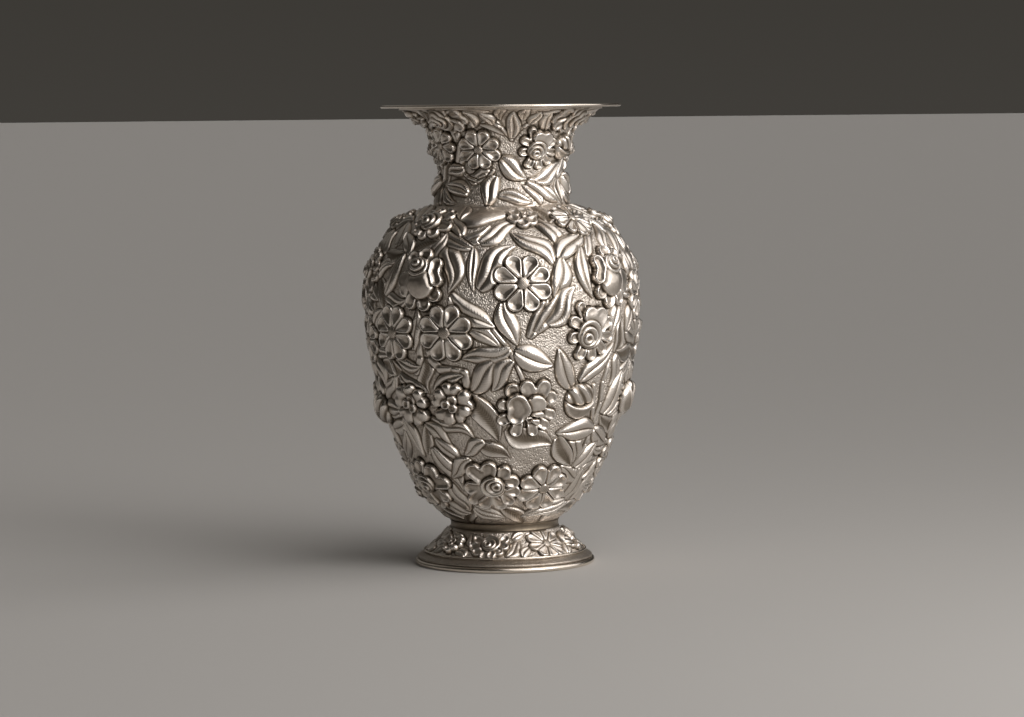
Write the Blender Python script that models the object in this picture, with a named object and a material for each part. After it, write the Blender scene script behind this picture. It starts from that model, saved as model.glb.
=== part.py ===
"""A baluster silver vase: a raised belly, a trumpet neck with a flat mouth flange, and a spreading foot.

Every piece is a separate shell or ring about the Z axis, and hard solder joins them on the real vase.
The main flowers of the belly and the neck are pushed out of the sheet from the inside.
The vase stands on Z = 0 with its axis on Z, and its front faces -Y. The script's unit is the metre.
"""

import math

import bpy

MM = 0.001

# Sheet, solder and roundness
WALL = 1.0 * MM  # gauge of the raised silver sheet
SOLDER_GAP = 0.3 * MM  # space left for solder between two pieces
SEGMENTS = 48  # flats round the axis of a plain piece
CHASED_SEGMENTS = 80  # flats round the axis of a sheet that carries flowers
WIRE_STEPS = 8  # flats round a wire
HALF_ROUND_STEPS = 6  # flats along a half-round edge or groove

# Rows of each curved stretch of sheet, from its top down
SLOPE_ROWS = 6
SHOULDER_ROWS = 13
CUP_ROWS = 22
FLARE_ROWS = 10
NECK_BASE_ROWS = 4

# Foot, from the floor up
FOOT_HEIGHT = 20.3 * MM  # floor to the flat top of the skirt
FOOT_WIRE_RADIUS = 50.0 * MM
FOOT_WIRE_HEIGHT = 3.0 * MM
FOOT_WIRE_WIDTH = 4.0 * MM
SKIRT_TOP_RADIUS = 30.0 * MM
SKIRT_LIP_WIDTH = 4.0 * MM  # lip turned in at the top of the skirt, under the collar
SKIRT_SAG = 1.0 * MM  # how far the slope hangs below a straight cone
SKIRT_SEAT = 1.5 * MM  # flat edge that sits on the foot wire
BAND_WIDTH = 4.2 * MM  # plain band between the bead and the foot wire, measured across
BAND_RISE = 2.4 * MM
BEAD_DIAMETER = 1.2 * MM  # wire laid in the corner above the band

# Collar between foot and belly
COLLAR_HEIGHT = 3.6 * MM
COLLAR_RADIUS = 30.4 * MM
COLLAR_WIDTH = 3.4 * MM
COLLAR_HOLLOW = 0.5 * MM  # depth of the groove turned round the collar

# Belly, from the collar up
BELLY_HEIGHT = 174.2 * MM
BELLY_WIDEST_HEIGHT = 119.7 * MM  # above the belly's own lower edge
BELLY_RADIUS = 73.8 * MM
BELLY_MOUTH_RADIUS = 37.6 * MM
BELLY_FOOT_RADIUS = 29.9 * MM
BELLY_SEAT = 3.0 * MM  # flat ring that sits on the collar
BOTTOM_DISH = 2.0 * MM  # rise of the bottom at its centre
BELLY_FOOT_SLOPE = 44.0  # degrees above level where the belly leaves the collar
SHOULDER_SLOPE = 22.0  # degrees above level where the shoulder meets the neck

# Neck, from the belly up
NECK_HEIGHT = 53.6 * MM  # crease to the top of the turned-out lip
NECK_WAIST_HEIGHT = 15.5 * MM
NECK_WAIST_RADIUS = 33.7 * MM
NECK_SPIGOT = 3.0 * MM  # length of the neck that slips down inside the belly

# Mouth
FLANGE_RADIUS = 64.3 * MM
FLANGE_THICKNESS = 1.0 * MM
FLANGE_OVERHANG = 8.3 * MM  # how far the flange reaches out past the neck's lip
FLANGE_LAP = 6.0 * MM  # how far the flange covers the neck's lip
RIM_WIRE_DIAMETER = 1.8 * MM

# Flowers pushed out of the sheet
BELLY_FLOWER_RISE = 4.8 * MM
NECK_FLOWER_RISE = 3.6 * MM
FLOWER_UNIT = 1.0 * MM  # length that the flowers' places and radii are counted in
FULL_FLOWER_RADIUS = 12.0 * MM  # from this radius on, a flower has the full rise
FLOWER_TOP_SHARE = 0.60  # share of a flower's radius that stands at full height
FLOWER_FOOT_SHARE = 1.06  # share of a flower's radius where it meets the ground
PLAIN_EDGE = 4.0 * MM  # strip at the ends of a wall that no flower lifts
EDGE_FADE = 5.0 * MM  # strip beyond it over which the flowers gain their height

# Each flower as degrees round from the front, flower units down the wall and radius in flower units
BELLY_FRONT_FLOWERS = (
    (13, 14, 9.0),
    (45, 17, 12.5),
    (-42, 20, 12.0),
    (-37, 52, 16.5),
    (53, 52, 16.5),
    (8.5, 56, 15.8),
    (-24.5, 82, 15.8),
    (-52, 83, 15.5),
    (38, 84, 16.5),
    (-24, 120.5, 12.0),
    (-46, 121.5, 12.0),
    (37, 121, 10.0),
    (10, 124, 15.5),
    (-7, 170, 15.0),
    (-57, 170, 15.0),
    (26, 172.5, 14.8),
)
BELLY_FRONT_PLACES = (0, 180)  # the same flowers again on the back
BELLY_SIDE_FLOWERS = (
    (0, 21, 11.0),
    (12, 50, 13.0),
    (-13, 65, 14.0),
    (13, 88, 14.0),
    (-12, 122, 9.0),
    (12, 127, 9.0),
    (-8, 157, 12.0),
    (8, 177, 11.0),
)
BELLY_SIDE_PLACES = (-90, 90)
NECK_FLOWERS = (
    (-41, 10.5, 9.0),
    (5, 12, 6.5),
    (56, 10.5, 9.0),
    (98, 11, 8.5),
    (-59, 29.5, 11.0),
    (-19, 32, 12.0),
    (31, 32.5, 12.0),
    (62, 31, 7.0),
    (90, 32, 8.5),
)
NECK_PLACES = (0, 180)

# Fullness of the curves: length of each pull as a share of the stretch that it shapes
SHOULDER_MOUTH_PULL = 0.46
SHOULDER_WIDEST_PULL = 0.55
CUP_WIDEST_PULL = 0.37
CUP_FOOT_PULL = 0.29
FLARE_LIP_PULL = 0.75
FLARE_WAIST_PULL = 0.42
NECK_ROOT_PULL = 0.38
NECK_BASE_PULL = 0.40

# Heights of the stacked pieces above the floor
SKIRT_BASE = FOOT_WIRE_HEIGHT + SOLDER_GAP
COLLAR_BASE = FOOT_HEIGHT + SOLDER_GAP
BELLY_BASE = COLLAR_BASE + COLLAR_HEIGHT + SOLDER_GAP
BELLY_TOP = BELLY_BASE + BELLY_HEIGHT
NECK_LIP_TOP = BELLY_TOP + NECK_HEIGHT
FLANGE_BASE = NECK_LIP_TOP + SOLDER_GAP

# Places that two pieces share
SKIRT_EDGE_RADIUS = FOOT_WIRE_RADIUS - 0.5 * FOOT_WIRE_HEIGHT  # where the wire's round side begins
BAND_TOP = (SKIRT_EDGE_RADIUS - BAND_WIDTH, SKIRT_BASE + WALL + BAND_RISE)
SPIGOT_RADIUS = BELLY_MOUTH_RADIUS - SOLDER_GAP
NECK_LIP_RADIUS = FLANGE_RADIUS - FLANGE_OVERHANG

CHASED_SILVER = {"colour": (0.60, 0.57, 0.52), "roughness": 0.30}
PLAIN_SILVER = {"colour": (0.72, 0.68, 0.60), "roughness": 0.18}


def clear_scene():
    for old in list(bpy.data.objects):
        bpy.data.objects.remove(old, do_unlink=True)


def metal(name, look):
    material = bpy.data.materials.new(name)
    material.use_nodes = True
    shader = material.node_tree.nodes["Principled BSDF"]
    shader.inputs["Base Color"].default_value = (*look["colour"], 1.0)
    shader.inputs["Metallic"].default_value = 1.0
    shader.inputs["Roughness"].default_value = look["roughness"]
    material.diffuse_color = (*look["colour"], 1.0)
    return material


def bezier(start, pull_start, pull_end, end, steps):
    """Points of one cubic curve in the (radius, height) plane, both ends included."""
    points = []
    for i in range(steps + 1):
        t = i / steps
        weights = ((1 - t) ** 3, 3 * t * (1 - t) ** 2, 3 * t * t * (1 - t), t**3)
        corners = (start, pull_start, pull_end, end)
        points.append(tuple(sum(w * c[k] for w, c in zip(weights, corners)) for k in range(2)))
    return points


def arc(centre, reach_out, reach_up, first, last, steps):
    """Points of an elliptic arc in the (radius, height) plane, from one angle in degrees to another."""
    points = []
    for i in range(steps + 1):
        angle = math.radians(first + (last - first) * i / steps)
        points.append((centre[0] + reach_out * math.cos(angle), centre[1] + reach_up * math.sin(angle)))
    return points


def toward(point, degrees, length):
    """The point that lies a given length away, at an angle above level and outward."""
    angle = math.radians(degrees)
    return (point[0] + length * math.cos(angle), point[1] + length * math.sin(angle))


def turned(name, outline, material):
    """A ring turned about Z. The closed outline holds (radius, height) and runs down its outer side."""
    mesh = bpy.data.meshes.new(name)
    vertices = [(radius, 0.0, height) for radius, height in outline]
    edges = [(i, (i + 1) % len(vertices)) for i in range(len(vertices))]
    mesh.from_pydata(vertices, edges, [])
    mesh.materials.append(material)
    obj = bpy.data.objects.new(name, mesh)
    bpy.context.scene.collection.objects.link(obj)
    screw = obj.modifiers.new("turn", "SCREW")
    screw.axis = "Z"
    screw.steps = SEGMENTS
    screw.render_steps = SEGMENTS
    screw.use_merge_vertices = True
    screw.merge_threshold = 1e-6
    screw.use_smooth_shade = True


def repeated(flowers, places):
    """The flowers once for each place, moved round the axis by its degrees."""
    return [(degrees + place, down, size) for place in places for degrees, down, size in flowers]


def boss(reach):
    """Height of a flower from 1 at its middle to 0, by distance from its middle as a share of its radius."""
    share = (FLOWER_FOOT_SHARE - reach) / (FLOWER_FOOT_SHARE - FLOWER_TOP_SHARE)
    share = min(max(share, 0.0), 1.0)
    return share * share * (3 - 2 * share)


def flower_lift(flowers, angle, radius, down):
    """How much of the full rise the sheet has at one place on the wall."""
    lift = 0.0
    for degrees, middle, size in flowers:
        flower_radius = size * FLOWER_UNIT
        aside = radius * math.remainder(angle - math.radians(degrees), math.tau)
        reach = math.hypot(aside, down - middle * FLOWER_UNIT) / flower_radius
        lift = max(lift, boss(reach) * min(flower_radius / FULL_FLOWER_RADIUS, 1.0))
    return lift


def wall_lifts(side, flowers, rise):
    """For each point of a side from the top down, the height of the flowers in each column round it."""
    downs = [0.0]
    for above, below in zip(side, side[1:]):
        downs.append(downs[-1] + math.dist(above, below))
    rows = []
    for (radius, _), down in zip(side, downs):
        from_edge = min(down, downs[-1] - down)
        fade = min(max((from_edge - PLAIN_EDGE) / EDGE_FADE, 0.0), 1.0)
        angles = [math.tau * column / CHASED_SEGMENTS for column in range(CHASED_SEGMENTS)]
        rows.append([rise * fade * flower_lift(flowers, angle, radius, down) for angle in angles])
    return rows


def outward(side, row):
    """Unit direction square to a side at one of its points, away from the axis."""
    above = side[max(row - 1, 0)]
    below = side[min(row + 1, len(side) - 1)]
    length = math.dist(above, below)
    return ((above[1] - below[1]) / length, (below[0] - above[0]) / length)


def pushed_rings(side, lifts, directions):
    """Rings of points round the axis, one for each point of a side, with the flowers pushed out of them."""
    rings = []
    for (radius, height), row, (out, up) in zip(side, lifts, directions):
        ring = []
        for column, lift in enumerate(row):
            angle = math.tau * column / CHASED_SEGMENTS
            reach = radius + lift * out
            ring.append((reach * math.sin(angle), -reach * math.cos(angle), height + lift * up))
        rings.append(ring)
    return rings


def plain_rings(side):
    """Rings of points round the axis with no flowers."""
    flat = [[0.0] * CHASED_SEGMENTS] * len(side)
    return pushed_rings(side, flat, [(1.0, 0.0)] * len(side))


def numbered(vertices, rings):
    """Adds the rings' points to the vertices and returns their numbers. A ring on the axis is one vertex."""
    numbers = []
    for ring in rings:
        points = ring[:1] if ring[0] == ring[1] else ring
        numbers.append([len(vertices) + column % len(points) for column in range(CHASED_SEGMENTS)])
        vertices.extend(points)
    return numbers


def strip(upper, lower):
    """Triangles between two rings of vertex numbers. They face away from the axis where upper is above."""
    faces = []
    for column in range(CHASED_SEGMENTS):
        after = (column + 1) % CHASED_SEGMENTS
        for face in (
            (upper[column], lower[column], lower[after]),
            (upper[column], lower[after], upper[after]),
        ):
            if len(set(face)) == 3:
                faces.append(face)
    return faces


def sheet(name, outer, inner, material):
    """A raised sheet from the rings of its outer and inner side, as many in each and from the top down."""
    vertices = []
    outside = numbered(vertices, outer)
    inside = numbered(vertices, inner)
    faces = strip(inside[0], outside[0]) + strip(outside[-1], inside[-1])
    for row in range(len(outside) - 1):
        faces += strip(outside[row], outside[row + 1])
        faces += [face[::-1] for face in strip(inside[row], inside[row + 1])]
    mesh = bpy.data.meshes.new(name)
    mesh.from_pydata(vertices, [], faces)
    mesh.shade_smooth()
    mesh.materials.append(material)
    obj = bpy.data.objects.new(name, mesh)
    bpy.context.scene.collection.objects.link(obj)


def chased_sheet(name, sides, ends, flowers, rise, material):
    """A sheet with flowers in its side and a plain end below. Sides and ends hold outer, then inner."""
    lifts = wall_lifts(sides[0], flowers, rise)
    directions = [outward(sides[0], row) for row in range(len(sides[0]))]
    skins = []
    for side, end in zip(sides, ends):
        skins.append(pushed_rings(side, lifts, directions) + plain_rings(end))
    sheet(name, skins[0], skins[1], material)


def foot_wire(material):
    """Half-round wire under the foot. Its flat underside is what the vase stands on."""
    half = 0.5 * FOOT_WIRE_HEIGHT
    inner = FOOT_WIRE_RADIUS - FOOT_WIRE_WIDTH
    round_side = arc((SKIRT_EDGE_RADIUS, half), half, half, 90, -90, HALF_ROUND_STEPS)
    turned("foot_wire", [(inner, FOOT_WIRE_HEIGHT)] + round_side + [(inner, 0.0)], material)


def skirt_slope(inset):
    """The skirt's slope from its top down to the band, moved in by a wall."""
    run = BAND_TOP[0] - SKIRT_TOP_RADIUS
    drop = FOOT_HEIGHT - BAND_TOP[1]
    length = math.hypot(run, drop)
    top = (SKIRT_TOP_RADIUS - inset * (length - run) / drop, FOOT_HEIGHT - inset)
    foot = (BAND_TOP[0] - inset * drop / length, BAND_TOP[1] - inset * run / length)
    sag = (-SKIRT_SAG * drop / length, -SKIRT_SAG * run / length)
    pulls = []
    for share in (1 / 3, 2 / 3):
        pulls.append(tuple(top[k] + share * (foot[k] - top[k]) + sag[k] for k in range(2)))
    return bezier(top, *pulls, foot, SLOPE_ROWS)


def foot_skirt(material):
    """Spreading foot of sheet: a lip turned in at the top, a hollow slope and a band turned out below."""
    lip_edge = SKIRT_TOP_RADIUS - SKIRT_LIP_WIDTH
    outer = skirt_slope(0.0) + [(SKIRT_EDGE_RADIUS, SKIRT_BASE + WALL), (SKIRT_EDGE_RADIUS, SKIRT_BASE)]
    inner = [(SKIRT_EDGE_RADIUS - SKIRT_SEAT, SKIRT_BASE)] + skirt_slope(WALL)[::-1]
    lip = [(lip_edge, FOOT_HEIGHT - WALL), (lip_edge, FOOT_HEIGHT)]
    turned("foot_skirt", outer + inner + lip, material)


def foot_bead(material):
    """Round wire that lies in the corner between the slope and the band."""
    slope = skirt_slope(0.0)
    slope_angle = math.atan2(slope[-2][1] - BAND_TOP[1], BAND_TOP[0] - slope[-2][0])
    band_angle = math.atan2(BAND_RISE, BAND_WIDTH)
    radius = 0.5 * BEAD_DIAMETER
    opening = math.pi - slope_angle + band_angle
    away = (radius + SOLDER_GAP) / math.sin(0.5 * opening)
    middle = math.degrees(math.pi - slope_angle - 0.5 * opening)
    centre = toward(BAND_TOP, middle, away)
    turned("foot_bead", arc(centre, radius, radius, 90, -270, WIRE_STEPS)[:-1], material)


def foot_collar(material):
    """Plain ring with a groove turned round it, between the skirt and the belly."""
    middle = COLLAR_BASE + 0.5 * COLLAR_HEIGHT
    inner = COLLAR_RADIUS - COLLAR_WIDTH
    groove = arc((COLLAR_RADIUS, middle), COLLAR_HOLLOW, 0.5 * COLLAR_HEIGHT, 90, 270, HALF_ROUND_STEPS)
    turned("foot_collar", groove + [(inner, COLLAR_BASE), (inner, COLLAR_BASE + COLLAR_HEIGHT)], material)


def belly_side(inset):
    """The belly's side from the mouth down to the foot, moved in by a wall."""
    slope = math.radians(SHOULDER_SLOPE)
    foot_slope = math.radians(BELLY_FOOT_SLOPE)
    widest = (BELLY_RADIUS - inset, BELLY_BASE + BELLY_WIDEST_HEIGHT)
    mouth = (BELLY_MOUTH_RADIUS, BELLY_TOP - inset / math.cos(slope))
    foot_shift = inset * (1 / math.tan(foot_slope) - 1 / math.sin(foot_slope))
    foot = (BELLY_FOOT_RADIUS + foot_shift, BELLY_BASE + inset)
    rise = BELLY_HEIGHT - BELLY_WIDEST_HEIGHT
    shoulder = bezier(
        mouth,
        toward(mouth, -SHOULDER_SLOPE, SHOULDER_MOUTH_PULL * rise),
        toward(widest, 90, SHOULDER_WIDEST_PULL * rise),
        widest,
        SHOULDER_ROWS,
    )
    cup = bezier(
        widest,
        toward(widest, -90, CUP_WIDEST_PULL * BELLY_WIDEST_HEIGHT),
        toward(foot, BELLY_FOOT_SLOPE, CUP_FOOT_PULL * BELLY_WIDEST_HEIGHT),
        foot,
        CUP_ROWS,
    )
    return shoulder + cup[1:]


def belly_shell(material):
    """Body raised from one disc, so its bottom is part of it. It is open at the neck."""
    seat_edge = BELLY_FOOT_RADIUS - BELLY_SEAT
    shares = (1, 2 / 3, 1 / 3, 0)
    dish = [(seat_edge * share, BELLY_BASE + BOTTOM_DISH * (1 - share**2)) for share in shares]
    inside_bottom = [(radius, height + WALL) for radius, height in dish]
    front = repeated(BELLY_FRONT_FLOWERS, BELLY_FRONT_PLACES)
    side = repeated(BELLY_SIDE_FLOWERS, BELLY_SIDE_PLACES)
    sides = (belly_side(0.0), belly_side(WALL))
    chased_sheet("belly_shell", sides, (dish, inside_bottom), front + side, BELLY_FLOWER_RISE, material)


def neck_side(inset):
    """The neck's side from the edge of its lip down to the crease, moved in by a wall."""
    lip = (NECK_LIP_RADIUS, NECK_LIP_TOP - WALL + inset)
    waist = (NECK_WAIST_RADIUS - inset, BELLY_TOP + NECK_WAIST_HEIGHT)
    root = (SPIGOT_RADIUS - inset, BELLY_TOP)
    flare = bezier(
        lip,
        toward(lip, 180, FLARE_LIP_PULL * (NECK_LIP_RADIUS - NECK_WAIST_RADIUS)),
        toward(waist, 90, FLARE_WAIST_PULL * (NECK_HEIGHT - NECK_WAIST_HEIGHT)),
        waist,
        FLARE_ROWS,
    )
    base = bezier(
        waist,
        toward(waist, -90, NECK_BASE_PULL * NECK_WAIST_HEIGHT),
        toward(root, 90, NECK_ROOT_PULL * NECK_WAIST_HEIGHT),
        root,
        NECK_BASE_ROWS,
    )
    return flare + base[1:]


def neck_shell(material):
    """Trumpet neck. Its foot is a short spigot that slips down inside the belly's mouth."""
    spigot_foot = BELLY_TOP - NECK_SPIGOT
    ends = ([(SPIGOT_RADIUS, spigot_foot)], [(SPIGOT_RADIUS - WALL, spigot_foot)])
    flowers = repeated(NECK_FLOWERS, NECK_PLACES)
    sides = (neck_side(0.0), neck_side(WALL))
    chased_sheet("neck_shell", sides, ends, flowers, NECK_FLOWER_RISE, material)


def mouth_flange(material):
    """Flat plain ring that laps over the neck's turned-out lip."""
    inner = NECK_LIP_RADIUS - FLANGE_LAP
    top = FLANGE_BASE + FLANGE_THICKNESS
    outline = [(inner, top), (FLANGE_RADIUS, top), (FLANGE_RADIUS, FLANGE_BASE), (inner, FLANGE_BASE)]
    turned("mouth_flange", outline, material)


def rim_wire(material):
    """Round wire run round the edge of the flange."""
    radius = 0.5 * RIM_WIRE_DIAMETER
    centre = (FLANGE_RADIUS + SOLDER_GAP + radius, FLANGE_BASE + 0.5 * FLANGE_THICKNESS)
    turned("rim_wire", arc(centre, radius, radius, 90, -270, WIRE_STEPS)[:-1], material)


def main():
    clear_scene()
    chased = metal("chased_silver", CHASED_SILVER)
    plain = metal("plain_silver", PLAIN_SILVER)
    foot_wire(plain)
    foot_skirt(chased)
    foot_bead(plain)
    foot_collar(plain)
    belly_shell(chased)
    neck_shell(chased)
    mouth_flange(plain)
    rim_wire(plain)


main()
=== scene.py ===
"""Looks of the chased silver vase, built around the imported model.

The three chased walls are height maps over angle and arc length, worked up flower by flower and leaf
by leaf and then turned into closed shells. Lengths are in millimetres until a mesh is made. Angles are
in degrees round the axis from the front (-Y), and grow to the right as the camera sees it.
"""

import math

import bpy
import numpy as np
from mathutils import Matrix, Vector


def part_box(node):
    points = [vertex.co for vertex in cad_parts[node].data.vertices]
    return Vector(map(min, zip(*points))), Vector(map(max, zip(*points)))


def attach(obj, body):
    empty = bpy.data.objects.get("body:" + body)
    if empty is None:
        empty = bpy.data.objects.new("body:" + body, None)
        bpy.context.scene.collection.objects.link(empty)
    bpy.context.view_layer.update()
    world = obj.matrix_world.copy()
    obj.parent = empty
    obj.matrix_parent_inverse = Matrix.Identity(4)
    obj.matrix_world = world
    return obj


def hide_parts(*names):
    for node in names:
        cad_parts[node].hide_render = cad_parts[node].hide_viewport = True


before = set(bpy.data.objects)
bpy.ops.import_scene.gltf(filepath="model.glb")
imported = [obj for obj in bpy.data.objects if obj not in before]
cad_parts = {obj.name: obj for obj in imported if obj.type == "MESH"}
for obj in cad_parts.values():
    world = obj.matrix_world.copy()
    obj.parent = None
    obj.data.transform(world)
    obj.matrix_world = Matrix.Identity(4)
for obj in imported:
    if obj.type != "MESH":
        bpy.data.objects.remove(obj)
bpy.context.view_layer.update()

MM = 0.001
WALL = 1.0
SEED = 11

# Heights of the stacked pieces, as in the solids
FOOT_WIRE_HEIGHT = 3.0
SKIRT_BASE = 3.3
FOOT_HEIGHT = 20.3
COLLAR_BASE = 20.6
BELLY_BASE = 24.5
BELLY_WIDEST = 144.2
BELLY_TOP = 198.7
NECK_WAIST = 214.2
NECK_LIP_TOP = 252.3
FLANGE_BASE = 252.6

# Radii and widths, as in the solids
FOOT_WIRE_INNER_RADIUS = 46.0
SKIRT_EDGE_RADIUS = 48.5
SKIRT_SEAT = 1.5
SKIRT_SAG = 1.0
SKIRT_TOP_RADIUS = 30.0
SKIRT_LIP_RADIUS = 26.0
BAND_TOP = (44.3, 6.7)  # radius and height of the corner above the matted band
BEAD_RADIUS = 0.6
COLLAR_RADIUS = 30.4
COLLAR_INNER_RADIUS = 27.0
COLLAR_HEIGHT = 3.6
COLLAR_HOLLOW = 0.5
BELLY_SEAT_RADIUS = 26.9
BELLY_FOOT_RADIUS = 29.9
BELLY_RADIUS = 73.8
BELLY_MOUTH_RADIUS = 37.6
BOTTOM_DISH = 2.0
SPIGOT_RADIUS = 37.3
SPIGOT_LENGTH = 3.0
NECK_WAIST_RADIUS = 33.7
NECK_LIP_RADIUS = 56.0
FLANGE_LAP = 6.0
FLANGE_RADIUS = 64.3
FLANGE_THICKNESS = 1.0
RIM_WIRE_RADIUS = 0.9
RIM_WIRE_CENTRE = (65.5, 253.1)

# Fineness of the chased walls
BELLY_COLUMNS, BELLY_ROWS = 1200, 500
NECK_COLUMNS, NECK_ROWS = 640, 150
SKIRT_COLUMNS, SKIRT_ROWS = 880, 84
BAND_ROWS = 12
BOTTOM_ROWS = 5
INNER_SHARE = 4  # outer columns to one inner column
RING_SEGMENTS = 240

# Turns in degrees that repeat the work round the axis
FRONT_AND_BACK = (0, 180)
SIDES = (-90, 90)
FOOT_THIRDS = (0, 120, 240)


def smooth(x):
    """Soft step from 0 to 1."""
    x = np.clip(x, 0.0, 1.0)
    return x * x * (3.0 - 2.0 * x)


def bump(x):
    """Soft hill, 1 in the middle."""
    return np.exp(-x * x)


def polar(degrees, length):
    """A step to the right and upward, from a direction clockwise from up."""
    angle = math.radians(degrees)
    return length * math.sin(angle), length * math.cos(angle)


def bezier(start, pull_start, pull_end, end, steps=60):
    """Points of one cubic curve in the (radius, height) plane."""
    t = np.linspace(0.0, 1.0, steps + 1)[:, None]
    corners = [np.array(p, float) for p in (start, pull_start, pull_end, end)]
    weights = ((1 - t) ** 3, 3 * t * (1 - t) ** 2, 3 * t * t * (1 - t), t**3)
    return sum(w * c for w, c in zip(weights, corners))


def toward(point, degrees, length):
    """The point a given length away, at an angle above level and outward."""
    angle = math.radians(degrees)
    return point[0] + length * math.cos(angle), point[1] + length * math.sin(angle)


def arc(centre, reach_out, reach_up, first, last, steps):
    """Points of an elliptic arc in the (radius, height) plane, from one angle in degrees to another."""
    angle = np.radians(np.linspace(first, last, steps + 1))
    out, up = reach_out * np.cos(angle), reach_up * np.sin(angle)
    return np.stack([centre[0] + out, centre[1] + up], axis=1)


def belly_side():
    """The belly's line from its mouth down to its foot. The pulls are shares of the stretch they shape."""
    mouth = (BELLY_MOUTH_RADIUS, BELLY_TOP)
    widest = (BELLY_RADIUS, BELLY_WIDEST)
    foot = (BELLY_FOOT_RADIUS, BELLY_BASE)
    rise, depth = BELLY_TOP - BELLY_WIDEST, BELLY_WIDEST - BELLY_BASE
    shoulder = bezier(mouth, toward(mouth, -22, 0.46 * rise), toward(widest, 90, 0.55 * rise), widest)
    cup = bezier(widest, toward(widest, -90, 0.37 * depth), toward(foot, 44, 0.29 * depth), foot)
    return np.concatenate([shoulder, cup[1:]])


def neck_side():
    """The neck's line from the edge of its lip down to the crease."""
    lip = (NECK_LIP_RADIUS, NECK_LIP_TOP - WALL)
    waist = (NECK_WAIST_RADIUS, NECK_WAIST)
    root = (SPIGOT_RADIUS, BELLY_TOP)
    flare = bezier(lip, toward(lip, 180, 16.7), toward(waist, 90, 16.0), waist)
    base = bezier(waist, toward(waist, -90, 6.2), toward(root, 90, 5.9), root)
    return np.concatenate([flare, base[1:]])


def skirt_side():
    """The foot's slope from its top down to the matted band, hanging a little below a straight cone."""
    top, foot = (SKIRT_TOP_RADIUS, FOOT_HEIGHT), BAND_TOP
    run, drop = foot[0] - top[0], top[1] - foot[1]
    length = math.hypot(run, drop)
    pulls = []
    for share in (1 / 3, 2 / 3):
        inward, down = SKIRT_SAG * drop / length, SKIRT_SAG * run / length
        pulls.append((top[0] + share * run - inward, top[1] - share * drop - down))
    return bezier(top, *pulls, foot)


def blur(field, rows, columns):
    """Gaussian blur that wraps round the axis and holds the top and bottom rows."""
    height, width = field.shape
    pad = int(4 * rows) + 1
    tall = np.pad(field, ((pad, pad), (0, 0)), mode="edge")
    pull = np.exp(-0.5 * (2 * np.pi * np.fft.fftfreq(tall.shape[0]) * rows) ** 2)[:, None]
    turn = np.exp(-0.5 * (2 * np.pi * np.fft.rfftfreq(width) * columns) ** 2)[None, :]
    return np.fft.irfft2(np.fft.rfft2(tall) * pull * turn, s=tall.shape)[pad : pad + height]


class Wall:
    """A turned wall with its height map. Rows run down from the top, columns round the axis."""

    def __init__(self, side, columns, rows, seed):
        travel = np.concatenate([[0.0], np.cumsum(np.hypot(*np.diff(side, axis=0).T))])
        self.length = travel[-1]
        self.along = np.linspace(0.0, self.length, rows)
        self.line = np.stack([np.interp(self.along, travel, side[:, k]) for k in (0, 1)], axis=1)
        tangent = np.gradient(self.line, self.along, axis=0)
        tangent /= np.linalg.norm(tangent, axis=1)[:, None]
        self.normal = np.stack([-tangent[:, 1], tangent[:, 0]], axis=1)
        self.degrees = np.arange(columns) * 360.0 / columns - 180.0
        self.relief = np.zeros((rows, columns))
        self.swelling = np.zeros((rows, columns))
        self.ink = np.zeros((rows, columns))
        self.ground = np.ones((rows, columns))
        self.random = np.random.default_rng(seed)

    def spot(self, deg, along, reach):
        """Window round a place, as far as reach on every side."""
        rows = np.nonzero(np.abs(self.along - along) < reach)[0]
        radius = self.line[rows, 0]
        turn = (self.degrees - deg + 180.0) % 360.0 - 180.0
        columns = np.nonzero(np.abs(np.radians(turn)) * radius.min() < reach)[0]
        u = np.radians(turn[columns])[None, :] * radius[:, None]
        v = np.broadcast_to((along - self.along[rows])[:, None], u.shape)
        return Spot(self, np.ix_(rows, columns), u, v)

    def radius_at(self, along):
        return float(np.interp(along, self.along, self.line[:, 0]))

    def swell(self, deg, along, radius, height):
        """Pushes the sheet out in a soft round hill under a motif."""
        spot = self.spot(deg, along, radius)
        rise = height * smooth(1.0 - np.hypot(spot.u, spot.v) / radius)
        self.swelling[spot.where] = np.maximum(self.swelling[spot.where], rise)


class Spot:
    """A window on a wall's map. u is millimetres to the right of its centre, v millimetres above."""

    def __init__(self, wall, where, u, v):
        self.wall, self.where, self.u, self.v = wall, where, u, v

    def axis(self, degrees):
        """Distance along a direction clockwise from up, and to its right."""
        across, up = polar(degrees, 1.0)
        return self.u * across + self.v * up, self.u * up - self.v * across

    def lay(self, edge, form, groove=0.3, tuck=0.35, ink=0.5, under=False):
        """Lays a form over the map, or under what is there. edge is the distance outside its outline."""
        wall = self.wall
        open_ground = wall.ground[self.where] if under else 1.0
        cover = smooth(0.5 - edge / 0.7) * open_ground
        beyond = np.maximum(edge, 0.0)
        old = wall.relief[self.where]
        pressed = old * (1.0 - tuck * open_ground * bump(beyond / 1.6))
        pressed = pressed - groove * open_ground * bump(beyond / 0.9)
        wall.relief[self.where] = pressed + cover * (form - pressed)
        line = ink * open_ground * bump((edge - 0.15) / 0.42)
        wall.ink[self.where] = np.maximum(wall.ink[self.where] * (1.0 - cover), line)
        wall.ground[self.where] *= smooth(edge / 0.9)

    def add_tarnish_and_shade(self, amount):
        """Darkens the window to at least the amount given: tarnish in hollows and lines, painted shade on
        the bowls and calyxes.
        """
        self.wall.ink[self.where] = np.maximum(self.wall.ink[self.where], amount)


def lip(inside, width):
    """Rounded rise inward from an outline, 0 to 1."""
    return np.sqrt(1.0 - (1.0 - np.clip(inside / width, 0.0, 1.0)) ** 2)


def soft_min(a, b, blend):
    """The lesser of two distances, with the corner between them rounded."""
    share = np.clip(0.5 + 0.5 * (b - a) / blend, 0.0, 1.0)
    return b + (a - b) * share - blend * share * (1.0 - share)


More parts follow.
